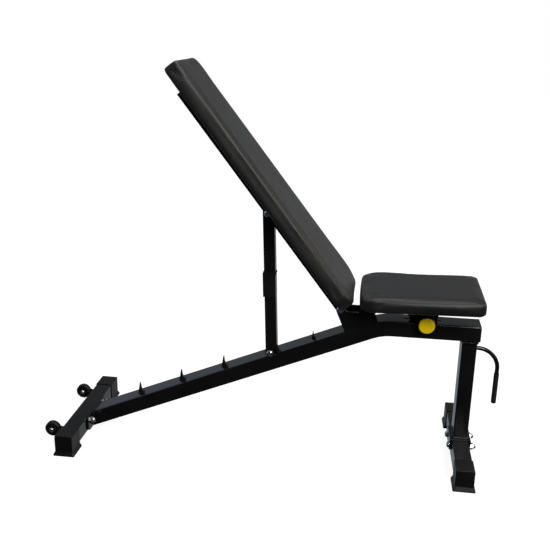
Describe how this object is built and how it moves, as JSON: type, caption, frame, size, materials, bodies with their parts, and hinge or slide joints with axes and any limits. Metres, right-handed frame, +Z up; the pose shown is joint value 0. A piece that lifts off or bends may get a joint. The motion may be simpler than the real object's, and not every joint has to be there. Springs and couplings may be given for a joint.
{
  "type": "adjustable_weight_bench",
  "caption": "Adjustable weight bench: padded backrest propped on a ladder of catches, padded seat on a selector plate with a yellow pop-pin, black steel frame.",
  "frame": {"origin": "On the floor, at the middle of the bench's footprint; the mid-plane of the bench is Y = 0.", "axes": "+X runs from the rear foot with the wheels to the front foot under the seat, +Z is up, and the pop-pin knob is on the -Y side."},
  "size_m": [1.3124, 0.421, 1.1068],
  "materials": {
    "powder_coat": "glossy black powder coat",
    "bright_steel": "bright plated fasteners",
    "spring_steel": "plain spring wire",
    "upholstery": "satin black vinyl",
    "plywood": "stained board",
    "black_plastic": "moulded, lightly textured",
    "yellow_plastic": "smooth yellow",
    "grip_rubber": "matt dipped grip",
    "wheel_tyre": "hard rubber"
  },
  "bodies": {
    "frame": {"main_beam": "powder_coat", "beam_front_cap": "black_plastic", "rear_flange": "powder_coat", "rear_cross_tube": "powder_coat", "rear_foot_right": "black_plastic", "rear_foot_left": "black_plastic", "rear_foot_bolts": "bright_steel", "front_cross_tube": "powder_coat", "front_foot_right": "black_plastic", "front_foot_left": "black_plastic", "leg_saddle": "powder_coat", "front_foot_bolts": "bright_steel", "front_leg": "powder_coat", "leg_top_plate": "powder_coat", "lift_handle": "powder_coat", "handle_grip": "grip_rubber", "ladder_catches": "powder_coat", "ladder_top_catch": "powder_coat", "pivot_gusset_right": "powder_coat", "pivot_gusset_left": "powder_coat", "backrest_pivot_bolt": "bright_steel", "seat_pivot_bolt": "bright_steel", "pop_pin_cheek": "powder_coat", "pop_pin_housing": "bright_steel", "pop_pin_spring": "spring_steel", "wheel_bracket_right": "powder_coat", "wheel_bracket_left": "powder_coat", "wheel_axle_right": "bright_steel", "wheel_axle_left": "bright_steel"},
    "backrest": {"backrest_rail_right": "powder_coat", "backrest_rail_left": "powder_coat", "backrest_rail_caps": "black_plastic", "backrest_pivot_sleeve": "powder_coat", "backrest_cross_plates": "powder_coat", "backrest_pad_screws": "bright_steel", "backrest_board": "plywood", "backrest_pad": "upholstery", "strut_pivot_bolt": "bright_steel"},
    "strut": {"strut_tube": "powder_coat", "strut_collar": "black_plastic", "strut_top_bush": "powder_coat", "strut_foot_bush": "powder_coat", "strut_foot_bolt": "bright_steel"},
    "seat": {"seat_tube": "powder_coat", "seat_pivot_sleeve": "powder_coat", "seat_cross_plates": "powder_coat", "seat_pad_screws": "bright_steel", "seat_board": "plywood", "seat_pad": "upholstery", "seat_selector_plate": "powder_coat"},
    "pop_pin_body": {"pop_pin": "bright_steel", "knob_skirt": "black_plastic", "pull_knob": "yellow_plastic"},
    "wheel_right": {"wheel_hub_right": "black_plastic", "wheel_tyre_right": "wheel_tyre"},
    "wheel_left": {"wheel_hub_left": "black_plastic", "wheel_tyre_left": "wheel_tyre"}
  },
  "joints": [
    {"name": "backrest_tilt", "type": "hinge", "parent": "frame", "child": "backrest", "pos_m": [0.19725, 0, 0.439], "axis": [0, 1, 0], "range_deg": [0, 8]},
    {"name": "strut_swing", "type": "hinge", "parent": "backrest", "child": "strut", "pos_m": [-0.01383, 0, 0.70557], "axis": [0, 1, 0], "range_deg": [-8, 0]},
    {"name": "seat_tilt", "type": "hinge", "parent": "frame", "child": "seat", "pos_m": [0.27125, 0, 0.454], "axis": [0, -1, 0], "range_deg": [0, 12]},
    {"name": "pop_pin_pull", "type": "slide", "parent": "frame", "child": "pop_pin_body", "axis": [0, -1, 0], "range_m": [0, 0.008], "stiffness_N_per_m": 400, "springref_m": -0.01},
    {"name": "wheel_spin_right", "type": "hinge", "parent": "frame", "child": "wheel_right", "pos_m": [-0.63375, -0.127, 0.042], "axis": [0, 1, 0], "continuous": true},
    {"name": "wheel_spin_left", "type": "hinge", "parent": "frame", "child": "wheel_left", "pos_m": [-0.63375, 0.127, 0.042], "axis": [0, 1, 0], "continuous": true}
  ],
  "couplings": [
    {"joint": "strut_swing", "follows": "backrest_tilt", "ratio": -1}
  ]
}
